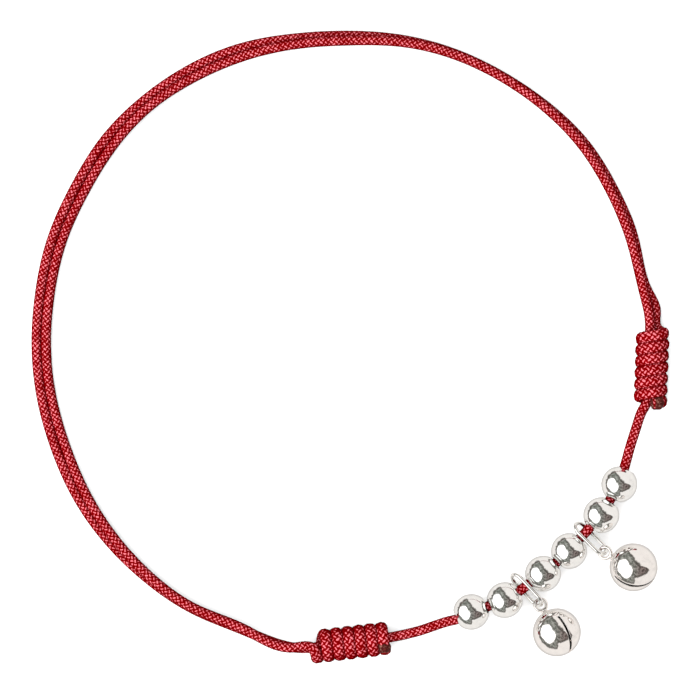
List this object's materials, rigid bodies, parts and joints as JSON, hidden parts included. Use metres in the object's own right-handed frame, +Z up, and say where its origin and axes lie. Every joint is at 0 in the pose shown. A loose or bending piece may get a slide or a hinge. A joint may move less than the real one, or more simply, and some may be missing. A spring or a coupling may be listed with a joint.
{
  "type": "payal anklet",
  "caption": "Adjustable anklet of red braided cord with sliding knots, round silver beads and small jingle bells on oval links, lying flat as an open loop.",
  "frame": {"origin": "middle of the loop's overall length and width, on the surface it lies on", "axes": "+Z up out of the surface, along the loop's axis; the beads and bells lie at +X -Y"},
  "size_m": [0.0795, 0.0789, 0.006],
  "materials": {
    "braided_cord": "braided polyester",
    "knot_cord": "braided polyester, wound",
    "bead_silver": "polished silver",
    "link_silver": "polished silver wire",
    "bell_silver": "polished silver",
    "pellet_steel": "plain"
  },
  "bodies": {
    "root": {"cord_front": "braided_cord", "cord_outer": "braided_cord", "cord_inner": "braided_cord", "knot_left": "knot_cord", "knot_right": "knot_cord", "bead_1": "bead_silver", "bead_2": "bead_silver", "bead_3": "bead_silver", "bead_4": "bead_silver", "bead_5": "bead_silver", "bead_6": "bead_silver", "link_1": "link_silver", "link_2": "link_silver", "bell_1": "bell_silver", "bell_2": "bell_silver", "pellet_1": "pellet_steel", "pellet_2": "pellet_steel"}
  },
  "joints": []
}
